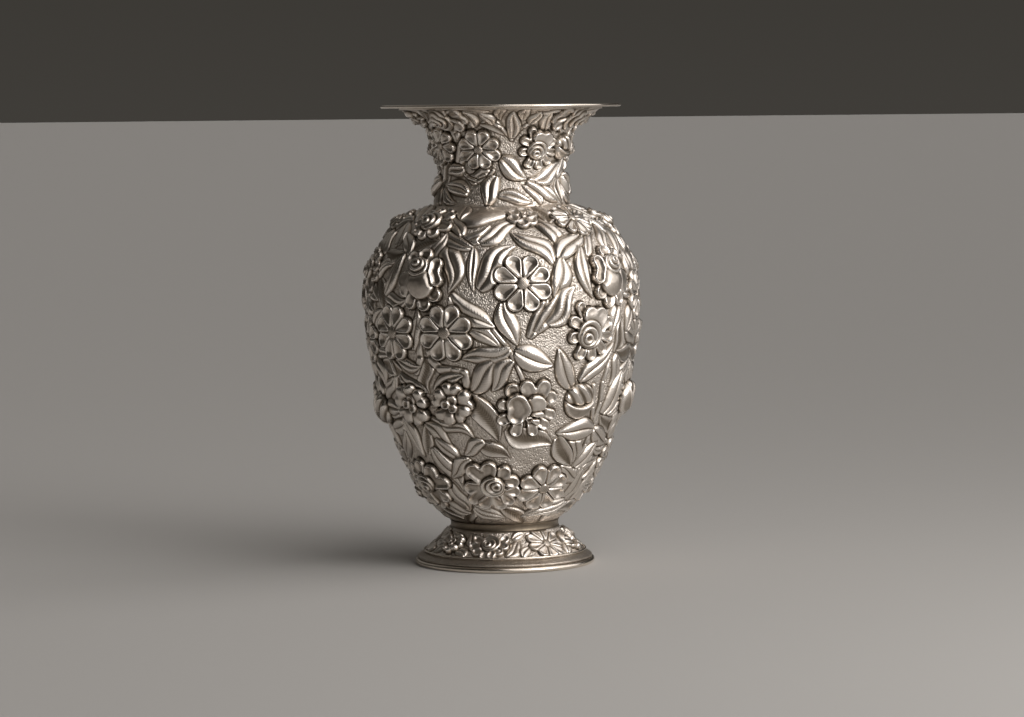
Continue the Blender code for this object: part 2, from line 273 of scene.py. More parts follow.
def capsule(u, v, start, end, narrow, wide):
    """Distance outside a shape that widens from one round end to the other."""
    du, dv = end[0] - start[0], end[1] - start[1]
    share = np.clip(((u - start[0]) * du + (v - start[1]) * dv) / (du * du + dv * dv + 1e-9), 0.0, 1.0)
    gap = np.hypot(u - start[0] - share * du, v - start[1] - share * dv)
    return gap - (narrow + share * (wide - narrow))


def daisy(wall, deg, along, radius, turn=22.5, petals=8, rise=3.2, swell=1.8):
    """Open flower of spoon-shaped petals round a stippled boss."""
    wall.swell(deg, along, 1.5 * radius, swell)
    spot = wall.spot(deg, along, 1.25 * radius)
    rho = np.hypot(spot.u, spot.v)
    step = 360.0 / petals
    angle = np.degrees(np.arctan2(spot.u, spot.v)) - turn
    index = np.round(angle / step).astype(int)
    lean = np.radians(angle - index * step)
    grow = wall.random.uniform(0.95, 1.04, petals)[index % petals]
    tilt = wall.random.uniform(-0.16, 0.16, petals)[index % petals]
    x, y = rho * np.cos(lean), rho * np.sin(lean)
    wide = 0.7 * radius * math.tan(math.radians(0.5 * step))
    near, far = 0.16 * radius, (radius - wide) * grow
    share = np.clip((x - near) / (far - near), 0.0, 1.0)
    narrow = 0.05 * radius
    edge = np.hypot(x - near - share * (far - near), y) - (narrow + share * (wide - narrow))
    inside = -edge
    hollow = smooth((inside - 0.4) / (0.7 * wide)) * smooth(1.3 * rho / radius)
    depth = 0.5 * wide * rise / 3.2
    form = rise * (0.66 + 0.34 * rho / radius) * (0.4 + 0.6 * lip(inside, 0.8))
    form = form - depth * hollow + tilt * y
    spot.lay(edge, form, groove=0.5)
    spot.add_tarnish_and_shade(0.12 * hollow)
    boss = 0.2 * radius
    grain = np.cos(2 * np.pi * spot.u / 1.25) * np.cos(2 * np.pi * spot.v / 1.25)
    dome = np.sqrt(np.clip(1.0 - (rho / boss) ** 2, 0.0, 1.0))
    spot.lay(rho - boss, 0.5 * rise + 1.0 * dome + 0.16 * grain, tuck=0.2)
    spot.add_tarnish_and_shade(np.where(rho < boss, 0.3 + 0.35 * smooth(0.5 - grain), 0.0))


def lobed(spot, root, lobes, rise, depth, waist=0.5):
    """Rose petal: round lobes grown together from one root, dished inside a thin raised rim."""
    edge = None
    for right, up, size in lobes:
        part = capsule(spot.u, spot.v, root, (right, up), waist * size, size)
        edge = part if edge is None else soft_min(edge, part, 1.8)
    inside = -edge
    reach = min(size for _, _, size in lobes)
    floor = smooth((inside - 0.35) / (0.62 * reach))
    form = rise * (0.55 + 0.45 * lip(inside, 0.75)) - depth * floor
    spot.lay(edge, form, groove=0.45)
    spot.add_tarnish_and_shade(0.11 * depth * floor)


def cup(spot, place, size, rise, depth):
    """Round hollow form with a thin raised rim."""
    edge = np.hypot(spot.u - place[0], spot.v - place[1]) - size
    inside = -edge
    floor = smooth((inside - 0.35) / (0.6 * size))
    spot.lay(edge, rise * (0.6 + 0.4 * lip(inside, 0.7)) - depth * floor, tuck=0.2)
    spot.add_tarnish_and_shade(0.45 * floor)


def bowl(spot, place, size, low, high):
    """Smooth round swelling, darkened all over with painted shade."""
    rho = np.hypot(spot.u - place[0], spot.v - place[1])
    dome = np.sqrt(np.clip(1.0 - 0.9 * (rho / size) ** 2, 0.0, 1.0))
    spot.lay(rho - size, low + (high - low) * dome)
    # Painted shade: the bowl is darkened so that it reflects the pale floor less.
    spot.add_tarnish_and_shade(0.3 * smooth((size - rho) / 0.6))


def knob(spot, root, lobes, low, high):
    """Petal curled over into a notched pillow."""
    edge = None
    for right, up, size in lobes:
        part = capsule(spot.u, spot.v, root, (right, up), 0.7 * size, size)
        edge = part if edge is None else soft_min(edge, part, 1.0)
    dent = bump(np.hypot(spot.u - root[0], spot.v - root[1]) / (0.9 * lobes[0][2]))
    spot.lay(edge, low + (high - low) * lip(-edge, 0.95 * lobes[0][2]) - 1.6 * dent, groove=0.45)
    spot.add_tarnish_and_shade(0.4 * dent * smooth(-edge))


# Rolled petals of a heart: share of its radius, shift off centre, extra height, darkness inside
ROLLED_PETALS = (
    (1.0, 0.0, 0.0, 0.2),
    (0.72, 0.2, 0.8, 0.25),
    (0.4, 0.36, 1.2, 0.8),
)


def whorl(spot, centre, radius, rise, lean, flat=1.0, ink=0.7):
    """Rolled heart of a rose: broad petals rolled one inside the other, off centre, round a dark eye."""
    for share, shift, height, dark in ROLLED_PETALS:
        right, up = polar(lean, shift * radius)
        x, y = spot.u - centre[0] - right, (spot.v - centre[1] - up * flat) / flat
        edge = (np.hypot(x, y) - share * radius) * (0.4 + 0.6 * flat)
        sink = smooth((-edge - 0.12 * radius) / (0.5 * share * radius))
        form = (rise + height) * (0.6 + 0.4 * lip(-edge, 0.16 * radius)) - 0.3 * radius * share * sink
        spot.lay(edge, form, groove=0.4 * ink, tuck=0.2 * ink, ink=ink)
        spot.add_tarnish_and_shade(dark * sink)


# Petals of a rose by its centre, in millimetres to the right and up.
# Each has its root, its lobes (right, up, size), its height and its hollow.
BLOWN_ROSE = (
    ((-2, 3), ((-7, 10.5, 4.2),), 3.4, 2.0),
    ((3, 1), ((14, 6.5, 3.3), (13.8, -3.5, 3.3)), 3.2, 1.5),
    ((2, -3), ((10.5, -9, 3.1), (4.5, -12.5, 2.9)), 3.2, 1.3),
    ((-3, 0), ((-12.0, 3.0, 2.8),), 3.6, 0.6),
    ((-3, -3), ((-11.5, -5.5, 3.3), (-4.5, -12.0, 3.3)), 3.8, 1.6),
    ((4, 1), ((0.5, 12.3, 4.0), (9.5, 12.3, 4.0)), 3.8, 1.4),
    ((5, 3), ((6, 3, 5.0),), 4.2, 0.5),
    ((-3, 0), ((-4.5, 3.5, 5.6), (-4.6, -2.5, 5.0)), 5.2, 2.8),
    ((4, -2.6), ((8.2, -2.8, 1.8),), 4.4, 0.4),
    ((1, -5), ((2.2, -5.6, 2.0),), 3.9, 1.6),
    ((4, -6), ((6.0, -6.8, 1.9),), 4.2, 0.6),
)
FULL_ROSE = (
    ((0, 0), ((14.0, 6.0, 3.1), (15.0, -2.0, 3.1)), 3.2, 1.5),
    ((0, 0), ((10.0, -8.5, 3.1), (2.5, -11.5, 3.0)), 3.2, 1.5),
    ((0, 0), ((-5.0, -10.5, 3.3), (-9.5, -1.5, 3.3)), 3.4, 1.7),
    ((0, 2), ((-9.5, 7.0, 3.2), (-5.0, 14.5, 3.1)), 3.3, 1.6),
    ((3, 4), ((0.5, 10.0, 4.8), (7.5, 9.5, 4.8)), 4.2, 0.5),
)
OPEN_ROSE = (
    ((-5, -2), ((-12.0, -1.5, 4.0), (-10.5, -9.5, 4.0)), 3.0, 2.2),
    ((-1, -6), ((-5.0, -12.5, 3.8), (3.0, -13.0, 3.7)), 3.0, 1.9),
    ((5, -4), ((7.5, -9.5, 3.5), (11.0, -3.5, 3.4)), 3.4, 2.0),
    ((4, 3), ((10.5, 3.0, 3.7), (6.5, 9.0, 3.7)), 3.5, 2.0),
    ((-3, 4), ((-10.0, 9.5, 4.3), (-1.5, 11.0, 4.3)), 3.5, 2.4),
)


def rose(wall, deg, along, petals, scale=1.0, mirror=1, heart=0.0, swell=2.2, turn=0.0, lean=225):
    """Rose from a list of petals, with a rolled heart of the given radius where it has one."""
    wall.swell(deg, along, 23 * scale, swell)
    spot = wall.spot(deg, along, 20 * scale)
    cosine, sine = math.cos(math.radians(turn)), math.sin(math.radians(turn))

    def place(right, up):
        right *= mirror
        return scale * (right * cosine + up * sine), scale * (up * cosine - right * sine)

    for root, lobes, rise, depth in petals:
        grown = [(*place(right, up), scale * size) for right, up, size in lobes]
        waist = 1.0 if lobes[0][2] > 3.8 else 0.6
        lobed(spot, place(*root), grown, rise * scale**0.5, depth * scale**0.5, waist)
    if heart:
        whorl(spot, (0.0, 0.0), heart, 4.2 * scale**0.5, mirror * lean)


# Petals that stand round the bowl of a half-open rose
CUP_PETALS = (
    ((0, 4), ((-6.5, 9.5, 3.6), (1.5, 11.0, 4.2)), 3.6, 2.2),
    ((-3, -2), ((-9.5, -3.0, 4.6), (-8.5, -8.0, 4.0)), 3.0, 0.4),
    ((-2, -6), ((-5.0, -14.5, 3.5),), 3.2, 1.4),
    ((2, -6), ((4.0, -15.0, 3.9),), 3.4, 1.9),
    ((6, -5), ((10.2, -10.0, 3.9),), 3.6, 2.1),
)


def cup_rose(wall, deg, along, scale=1.0, mirror=1, turn=0.0, swell=2.4):
    """Half-open rose seen from the side: a smooth bowl, folds above it and petals standing round."""
    rose(wall, deg, along, CUP_PETALS, scale, mirror, swell=swell, turn=turn)
    spot = wall.spot(deg, along, 20 * scale)
    across = mirror * scale
    bowl(spot, (2.0 * across, -4.6 * scale), 7.8 * scale, low=2.2, high=5.6)
    heart = (-0.6 * across, 4.2 * scale)
    whorl(spot, heart, 6.6 * scale, rise=4.8, lean=-20 * mirror, flat=0.8, ink=0.45)
    side = [(10.0 * across, 6.0 * scale, 3.4 * scale), (11.6 * across, -2.6 * scale, 3.2 * scale)]
    lobed(spot, (9.6 * across, 2.0 * scale), side, rise=4.8, depth=2.6, waist=0.8)


# Long petals of a rose that faces away, as lobes (right, up, size)
TRAILING_PETALS = (
    ((13.0, 4.5, 3.4), (13.5, -1.0, 3.2)),
    ((8.0, -5.0, 3.4), (2.0, -6.0, 3.2)),
    ((4.0, 6.0, 3.4),),
)
# Steps of that rose's heart: share of its size, height
TIP_STEPS = ((1.0, 3.2), (0.76, 5.0), (0.53, 6.4), (0.3, 7.2))


def side_rose(wall, deg, along, scale, mirror, tall=1.5):
    """Rose that faces away to one side: a rolled heart at one end and long petals trailing from it."""
    wall.swell(deg, along, 18 * scale, 1.6)
    spot = wall.spot(deg, along, 24 * scale)
    spot.v = spot.v / tall
    for lobes in TRAILING_PETALS:
        grown = [(-right * mirror * scale, up * scale, size * scale) for right, up, size in lobes]
        lobed(spot, (0.0, 0.0), grown, rise=3.0, depth=1.5, waist=0.8)
    for share, height in TIP_STEPS:
        right, up = polar(60 * mirror, 4.0 * scale * (1.0 - share))
        edge = np.hypot(spot.u - 2.0 * mirror * scale - right, spot.v - up) - 7.8 * share * scale
        form = height * (0.7 + 0.3 * lip(-edge, 1.4 * scale))
        spot.lay(edge, form, groove=0.2, tuck=0.1, ink=0.7)


def cluster(wall, deg, along, scale=1.0, turn=0.0, swell=2.4):
    """Small full rose whose petals are curled into notched knobs."""
    wall.swell(deg, along, 19 * scale, swell)
    spot = wall.spot(deg, along, 17 * scale)
    for k in range(5):
        angle = turn + 72 * k + wall.random.uniform(-9, 9)
        grow = scale * wall.random.uniform(0.9, 1.1)
        lobes = []
        for side in (-1, 1):
            centre, step = polar(angle, 8.4 * grow), polar(angle + 90 * side, 2.7 * grow)
            lobes.append((centre[0] + step[0], centre[1] + step[1], 3.4 * grow))
        knob(spot, polar(angle, 4.0 * grow), lobes, low=2.0, high=5.2)
    for angle, size in ((turn + 30, 2.9), (turn + 150, 2.6), (turn + 270, 2.7)):
        cup(spot, polar(angle, 2.5 * scale), size * scale, rise=4.4, depth=1.3)


def bud(wall, deg, along, size, turn=0.0, rise=4.2, swell=1.8):
    """Opening bud: folded petals above a smooth calyx with a raised lip."""
    wall.swell(deg, along, 2.0 * size, swell)
    spot = wall.spot(deg, along, 1.6 * size)
    y, x = spot.axis(turn)
    edge = (np.hypot(x, (y - 0.3 * size) / 0.78) - 0.98 * size) * 0.85
    fold = x / size + 0.5 * y / size + 0.3 * (y / size) ** 2 + 0.1
    ridge = 0.5 + 0.5 * np.cos(2 * np.pi * 1.35 * fold)
    form = rise * (0.3 + 0.7 * lip(-edge, 0.4 * size)) - 0.17 * size * (1.0 - ridge)
    spot.lay(edge, form)
    spot.add_tarnish_and_shade(np.where(edge < 0, 0.8 * smooth(1.6 * (0.5 - ridge)), 0.0))
    cut = y + 0.26 * size - 0.34 * size * (x / size) ** 2
    edge = np.maximum(np.hypot(x, 0.95 * y) - size, cut)
    dome = np.sqrt(np.clip(1.0 - 0.8 * (np.hypot(x, y) / size) ** 2, 0.0, 1.0))
    spot.lay(edge, (rise + 0.8) * dome * (0.5 + 0.5 * lip(-edge, 0.9)) + 0.5 * bump((cut + 0.7) / 0.6))
    # Painted shade: the calyx is darkened inside its rim so that it reflects the pale floor less.
    spot.add_tarnish_and_shade(0.45 * smooth(-edge - 1.0))


def leaf(wall, start, tip, width, bend=0.0, sway=0.0, bands=2, rise=2.2, valley=0.0, under=False):
    """Pointed leaf from its stalk to its tip, either hollow or in bands that swell between dark lines."""
    middle = (0.5 * (start[0] + tip[0]), 0.5 * (start[1] + tip[1]))
    run = math.radians(tip[0] - start[0]) * wall.radius_at(middle[1])
    climb = start[1] - tip[1]
    length = math.hypot(run, climb)
    wall.swell(*middle, 0.75 * length, 0.35 * rise)
    spot = wall.spot(*middle, 0.6 * length + 0.5 * width + abs(bend) + abs(sway) + 1.0)
    along, across = spot.axis(math.degrees(math.atan2(run, climb)))
    share = along / length + 0.5
    inner = np.clip(share, 0.0, 1.0)
    sway = sway + wall.random.uniform(-0.06, 0.06) * length
    across = across - 4.0 * bend * inner * (1.0 - inner) - sway * np.sin(2 * np.pi * inner)
    half = 0.5 * width * np.sin(np.pi * (0.06 + 0.94 * inner) ** 0.85) ** 0.8 + 0.05
    over = np.abs(share - inner) * length
    aside = np.abs(across) - half
    edge = np.where(over > 0, np.hypot(over, np.maximum(aside, 0.0)), aside * 0.9)
    place = np.clip(across / half, -1.0, 1.0)
    tilt = wall.random.uniform(-0.35, 0.35) * place
    if valley > wall.random.uniform(0.35, 0.9):
        body = 0.05 + 1.05 * np.abs(place) ** 2.2
        shade = 0.55 * smooth((0.66 - np.abs(place)) / 0.45)
    else:
        ridge = np.abs(np.sin(0.5 * np.pi * bands * (place + 1.0)))
        crease = (1.0 - smooth(ridge / 0.4)) * smooth((0.96 - np.abs(place)) / 0.08)
        crease = crease * smooth((1 - inner) / 0.15)
        body = (1.0 - 0.25 * place**2) * (0.48 + 0.52 * ridge) - 0.08 * crease
        shade = 0.6 * crease
    hatch = np.cos(2 * np.pi * (along + 0.8 * np.abs(across)) / 1.5)
    hatch = hatch * smooth((0.85 - np.abs(place)) / 0.3)
    body = body * (0.6 + 0.4 * np.sin(np.pi * inner**0.8)) + tilt
    form = rise * body * (0.35 + 0.65 * lip(-edge, 0.9)) + 0.06 * hatch
    shade = np.where(edge < 0, shade + 0.12 * np.clip(-hatch, 0.0, 1.0), 0.0)
    if under:
        shade = shade * wall.ground[spot.where]
    spot.lay(edge, form, under=under)
    spot.add_tarnish_and_shade(shade)


def stem(wall, points, width=2.2, rise=1.6):
    """Round stalk through a row of places."""
    for first, last in zip(points[:-1], points[1:]):
        middle = (0.5 * (first[0] + last[0]), 0.5 * (first[1] + last[1]))
        run = math.radians(last[0] - first[0]) * wall.radius_at(middle[1])
        climb = first[1] - last[1]
        spot = wall.spot(*middle, 0.5 * math.hypot(run, climb) + 2.0 + width)
        ends = ((-0.5 * run, -0.5 * climb), (0.5 * run, 0.5 * climb))
        edge = capsule(spot.u, spot.v, *ends, 0.5 * width, 0.5 * width)
        spot.lay(edge, rise * (0.3 + 0.7 * lip(-edge, 0.5 * width)), tuck=0.2)


def spray(wall, deg, along, radius, count=6, turn=0.0):
    """Leaves that stand out all round from under a flower."""
    per_degree = math.radians(1.0) * wall.radius_at(along)
    for k in range(count):
        angle = turn + 360.0 / count * k + wall.random.uniform(-12, 12)
        first = polar(angle, 0.6 * radius)
        last = polar(angle + wall.random.uniform(-18, 18), radius * wall.random.uniform(1.7, 2.1))
        start = (deg + first[0] / per_degree, along - first[1])
        tip = (deg + last[0] / per_degree, along - last[1])
        if 2 < tip[1] < wall.length - 2:
            size = radius * wall.random.uniform(0.68, 0.9)
            valley = wall.random.uniform(0.0, 0.6)
            bend = wall.random.uniform(-2.5, 2.5)
            leaf(wall, start, tip, size, bend, 1.0, 2 + k % 2, 2.3, valley)


def fill(wall, count, size, keep):
    """Slips leaves under the work wherever the most ground is bare, away from the places to keep."""
    fine_row = wall.along[1] - wall.along[0]
    fine_column = math.radians(360.0 / wall.relief.shape[1]) * wall.line[:, 0].mean()
    bare = wall.ground.copy()
    for deg, along, radius in keep:
        spot = wall.spot(deg, along, radius)
        bare[spot.where] *= smooth((np.hypot(spot.u, spot.v) - 0.7 * radius) / (0.3 * radius))
    edge = smooth(wall.along / (0.6 * size)) * smooth((wall.length - wall.along) / (0.6 * size))
    for _ in range(count):
        room = blur(bare, 0.25 * size / fine_row, 0.25 * size / fine_column) * edge[:, None]
        row, column = np.unravel_index(room.argmax(), room.shape)
        if room[row, column] < 0.5:
            break
        deg, along = wall.degrees[column], wall.along[row]
        per_degree = math.radians(1.0) * wall.line[row, 0]
        spot = wall.spot(deg, along, 0.6 * size)
        best, angle = -1.0, 0.0
        for k in range(12):
            line, off = spot.axis(15 * k)
            score = (bare[spot.where] * (np.abs(off) < 0.16 * size) * (np.abs(line) < 0.55 * size)).sum()
            if score > best:
                best, angle = score, 15 * k + 180 * wall.random.integers(2)
        right, up = polar(angle, 0.62 * size)
        start, tip = (deg - right / per_degree, along + up), (deg + right / per_degree, along - up)
        shape = wall.random.uniform((0.5, -3.0, -1.0, 0.2), (0.64, 3.0, 1.0, 0.9))
        leaf(wall, start, tip, size * shape[0], shape[1], shape[2], 2, 0.11 * size, shape[3], True)
        bare[spot.where] *= smooth((np.hypot(spot.u, spot.v) - 0.3 * size) / (0.25 * size))
        bare = np.minimum(bare, wall.ground)


# Belly, front half: places are degrees from the front and millimetres down from the crease.
# Stalks of every wall: width, height, places
BELLY_STEMS = (
    (2.4, 1.6, ((-4, 80), (2, 90), (6, 100), (9, 109))),
    (2.6, 1.6, ((45, 113), (47, 126), (50, 137), (49, 148), (45, 160))),
    (2.6, 1.6, ((53, 100), (51, 112), (52, 124), (50, 137))),
    (4.6, 2.0, ((-33, 89), (-32, 97), (-28, 102), (-21, 103), (-17, 104), (-16, 111))),
    (4.0, 2.0, ((-38, 88), (-38, 97), (-41, 104))),
    (2.0, 1.6, ((-58, 96), (-55, 108), (-58, 122), (-57, 138))),
)
# Leaves of every wall: start, tip, width, bend, sway, bands, height, valley
BELLY_LEAVES = (
    ((0, 66), (6, 89), 11.5, 1.2, 0.0, 2, 2.6, 0.2),
    ((5, 92), (22, 100), 13.5, 1.2, 0.0, 2, 2.8, 0.3),
    ((3, 91), (-18, 96), 11.0, -1.5, 0.0, 2, 2.3, 0.2),
    ((-4, 98), (-16, 116), 12.0, -1.0, 0.0, 2, 2.4, 0.5),
    ((4, 97), (-5, 114), 9.5, 1.0, 0.0, 2, 2.1, 0.2),
    ((-22, 62), (-3, 79), 13.0, 3.0, 0.8, 2, 2.8, 0.4),
    ((-25, 30), (-23, 61), 13.0, -2.4, 1.6, 2, 2.6, 0.0),
    ((-32, 25), (-11, 37), 8.5, 2.0, 0.8, 2, 2.2, 0.0),
    ((-13, 36), (-12, 60), 6.0, 0.6, 0.0, 2, 1.9, 0.0),
    ((-10, 59), (6, 35), 13.0, -3.2, 0.6, 2, 2.6, 0.0),
    ((-11, 33), (10, 18), 10.0, -1.2, 0.0, 2, 2.2, 0.2),
    ((1, 10), (-27, 20), 16.0, 2.0, 0.0, 1, 3.4, 0.0),
    ((31, 36), (18, 13), 10.0, 1.2, 0.8, 2, 2.2, 0.0),
    ((24, 45), (5, 26), 11.0, 2.0, 0.6, 2, 2.5, 0.0),
    ((25, 43), (45, 26), 12.0, -0.8, 0.0, 2, 2.5, 0.2),
    ((27, 43), (22, 66), 12.0, -1.5, 0.0, 2, 2.2, 0.0),
    ((39, 37), (41, 65), 9.5, 4.0, 0.0, 2, 2.5, 0.3),
    ((11, 85), (19, 61), 8.5, 1.0, 0.5, 2, 2.4, 0.0),
    ((14, 82), (25, 60), 9.0, 1.2, 0.5, 2, 2.3, 0.2),
    ((19, 78), (32, 58), 11.0, 1.0, 1.2, 2, 2.6, 0.2),
    ((-41, 92), (-38, 69), 7.5, 1.0, 0.0, 2, 2.2, 0.0),
    ((-32, 114), (-17, 105), 8.5, -1.8, 0.0, 2, 2.3, 0.3),
    ((-52, 106), (-36, 115), 9.0, 2.0, 0.0, 2, 2.2, 0.3),
    ((-52, 98), (-38, 101), 8.0, 1.5, 0.0, 2, 2.1, 0.2),
    ((-17, 116), (-3, 143), 13.0, -2.8, 0.0, 2, 3.0, 1.0),
    ((-38, 130), (-15, 142), 8.5, -2.0, 0.8, 2, 2.4, 0.2),
    ((-42, 133), (-27, 150), 9.5, -1.5, 0.0, 2, 2.4, 0.4),
    ((-37, 142), (-26, 158), 8.5, -1.5, 0.0, 2, 2.3, 0.4),
    ((-42, 148), (-29, 175), 11.0, -2.0, 0.0, 2, 2.5, 0.4),
    ((-58, 131), (-50, 154), 10.0, -1.2, 0.0, 2, 2.3, 0.3),
    ((1, 135), (26, 146), 13.0, 1.0, 1.4, 1, 2.6, 1.0),
    ((51, 138), (27, 139), 13.0, 0.8, 0.0, 2, 3.0, 0.0),
    ((28, 142), (42, 160), 11.0, 1.4, 0.0, 2, 2.6, 1.0),
    ((32, 114), (24, 91), 11.0, -1.0, 0.0, 2, 2.2, 0.3),
    ((36, 110), (55, 90), 10.5, 0.8, 0.0, 2, 2.4, 0.2),
    ((56, 130), (66, 106), 12.0, 1.0, 0.0, 2, 2.6, 0.3),
    ((52, 139), (69, 148), 10.5, 1.0, 0.0, 2, 2.4, 0.3),
    ((46, 161), (58, 146), 9.5, 0.9, 0.0, 2, 2.3, 0.3),
    ((-13, 145), (3, 153), 9.0, -0.8, 0.0, 2, 2.1, 0.6),
    ((-10, 143), (-22, 152), 8.0, 0.8, 0.0, 2, 1.9, 0.6),
    ((-19, 154), (-33, 166), 9.0, 0.8, 0.0, 2, 2.2, 0.3),
    ((-25, 186), (-1, 194), 9.0, 1.0, 0.0, 3, 2.1, 0.2),
    ((54, 184), (16, 194), 9.5, 1.5, 0.0, 3, 2.8, 0.0),
    ((-52, 185), (-30, 191), 8.0, 1.0, 0.0, 2, 1.9, 0.2),
    ((-34, 43), (-29, 26), 7.0, 1.0, 0.0, 2, 2.0, 0.2),
    ((-47, 40), (-57, 27), 8.5, 1.0, 0.0, 2, 2.1, 0.2),
    ((-59, 63), (-50, 39), 9.0, 1.2, 0.0, 2, 2.2, 0.2),
    ((56, 38), (61, 21), 8.5, 1.0, 0.0, 2, 2.1, 0.2),
    ((-20, 28), (-30, 12), 8.0, -1.0, 0.0, 2, 2.0, 0.4),
    ((58, 68), (52, 86), 9.0, 1.0, 0.0, 2, 2.2, 0.3),
)
# Open flowers: degrees, millimetres down, radius
BELLY_DAISIES = (
    (8.5, 56, 15.8),
    (-24.5, 82, 15.8),
    (-52, 83, 15.5),
    (26, 172.5, 14.8),
)
# Ground left bare: degrees, millimetres down, radius
BELLY_BARE = (
    (-15, 43, 7),
    (5, 29, 8),
    (-13, 65, 10),
    (16, 78, 7),
    (23, 90, 13),
    (20, 107, 8),
    (34, 64, 7),
    (-9, 119, 6),
    (-6, 135, 9),
    (15, 153, 13),
    (26, 131, 7),
    (-25, 149, 7),
    (10, 181, 9),
    (-36, 62, 5),
    (44, 70, 5),
)
# Flowers at the sides of the belly: degrees from the side, millimetres down, radius
BELLY_SIDES = (
    (0, 21, 11),
    (-13, 65, 14),
    (13, 88, 14),
    (-12, 122, 12),
    (12, 127, 12),
    (-8, 157, 12),
    (12, 50, 13),
    (8, 177, 11),
)
SIDE_BUDS = (3, 4)
SIDE_DAISIES = (1, 2, 5)
SIDE_CUP_ROSE = {-90: 1, 90: 2}


def shifted(place, shift):
    return place[0] + shift, place[1]


def greenery(wall, leaves, stems, shift):
    """Stalks and leaves of one repeat. Each stalk has its width, its height and its places."""
    for width, rise, points in stems:
        stem(wall, [shifted(place, shift) for place in points], width, rise)
    for start, tip, *shape in leaves:
        leaf(wall, shifted(start, shift), shifted(tip, shift), *shape)


def belly_side_flowers(wall, side):
    for k, (deg, along, radius) in enumerate(BELLY_SIDES):
        place = (side + deg, along)
        if k in SIDE_BUDS:
            bud(wall, *place, 0.75 * radius, turn=20 * k, rise=5.6, swell=3.0)
        elif k == SIDE_CUP_ROSE[side]:
            cup_rose(wall, *place, scale=0.9, turn=30)
        elif k in SIDE_DAISIES:
            daisy(wall, *place, radius)
        else:
            petals = (OPEN_ROSE, FULL_ROSE)[k % 2]
            rose(wall, *place, petals, radius / 15, heart=0.5 * radius, turn=50 * k)


def belly_front_flowers(wall, shift):
    for deg, along, radius in BELLY_DAISIES:
        daisy(wall, deg + shift, along, radius)
    rose(wall, 38 + shift, 84, FULL_ROSE, heart=7.8)
    rose(wall, -7 + shift, 170, OPEN_ROSE, heart=6.4, lean=60)
    rose(wall, -57 + shift, 170, OPEN_ROSE, mirror=-1, heart=6.0, turn=40)
    rose(wall, 10 + shift, 124, BLOWN_ROSE)
    cup_rose(wall, -37 + shift, 52)
    cup_rose(wall, 53 + shift, 52, mirror=-1)
    bud(wall, 37 + shift, 121, 9.4)
    cluster(wall, -24 + shift, 120.5)
    cluster(wall, -46 + shift, 121.5)
    rose(wall, -42 + shift, 20, OPEN_ROSE, 0.8, heart=6.4, turn=150, swell=3.0)
    daisy(wall, 13 + shift, 14, 9.0, turn=10, petals=6, rise=2.6, swell=1.2)
    daisy(wall, 45 + shift, 17, 12.5, turn=0, petals=10, rise=2.8, swell=1.6)


def dress_belly():
    wall = Wall(belly_side(), BELLY_COLUMNS, BELLY_ROWS, SEED)
    for side in SIDES:
        for k, (deg, along, radius) in enumerate(BELLY_SIDES):
            spray(wall, side + deg, along, radius, 7, 30 * k)
    for shift in FRONT_AND_BACK:
        greenery(wall, BELLY_LEAVES, BELLY_STEMS, shift)
    for side in SIDES:
        belly_side_flowers(wall, side)
    for shift in FRONT_AND_BACK:
        belly_front_flowers(wall, shift)
    keep = [(deg + shift, along, radius) for shift in FRONT_AND_BACK for deg, along, radius in BELLY_BARE]
    fill(wall, 130, 16.0, keep)
    return wall


# Neck: places are degrees from the front and millimetres down from the lip
NECK_STEMS = (
    (2.0, 1.3, ((-40, 44), (-31, 48), (-21, 50), (-12, 48), (-7, 44))),
    (2.0, 1.3, ((24, 16), (16, 20), (9, 27))),
    (2.0, 1.3, ((-8, 15), (1, 20), (9, 27))),
)
NECK_LEAVES = (
    ((9, 26), (8, 6), 8.0, 0.6, 0.0, 2, 2.4, 0.0),
    ((0, 37), (24, 49), 11.0, 1.2, 0.0, 2, 2.4, 0.1),
    ((25, 50), (55, 62), 10.0, -1.2, 0.0, 2, 2.3, 0.1),
    ((32, 50), (65, 40), 9.5, 1.2, 0.0, 2, 2.2, 0.2),
    ((-5, 47), (-13, 65), 10.0, 0.8, 0.0, 2, 2.2, 0.2),
    ((-2, 58), (27, 62), 7.5, -0.8, 0.0, 2, 1.8, 0.0),
    ((-30, 57), (-59, 52), 9.0, 1.4, 0.0, 2, 2.2, 0.4),
    ((-36, 43), (-56, 46), 8.0, 0.8, 0.0, 2, 2.0, 0.2),
    ((-6, 17), (-14, 6), 7.0, 0.6, 0.0, 2, 2.0, 0.0),
    ((22, 17), (26, 6), 7.0, 0.6, 0.0, 2, 1.9, 0.0),
    ((-20, 19), (-24, 5), 8.0, 0.6, 0.0, 2, 1.9, 0.2),
    ((36, 22), (34, 6), 8.0, -0.6, 0.0, 2, 1.9, 0.2),
    ((-40, 28), (-41, 17), 6.0, 0.6, 0.0, 2, 2.0, 0.0),
    ((-72, 49), (-93, 59), 11.0, 1.0, 0.0, 2, 3.4, 0.0),
    ((74, 47), (94, 57), 11.0, 1.0, 0.0, 2, 3.4, 0.0),
)
NECK_BARE = ((4, 30), (12, 53), (-23, 57))
NECK_BARE_RADIUS = 7


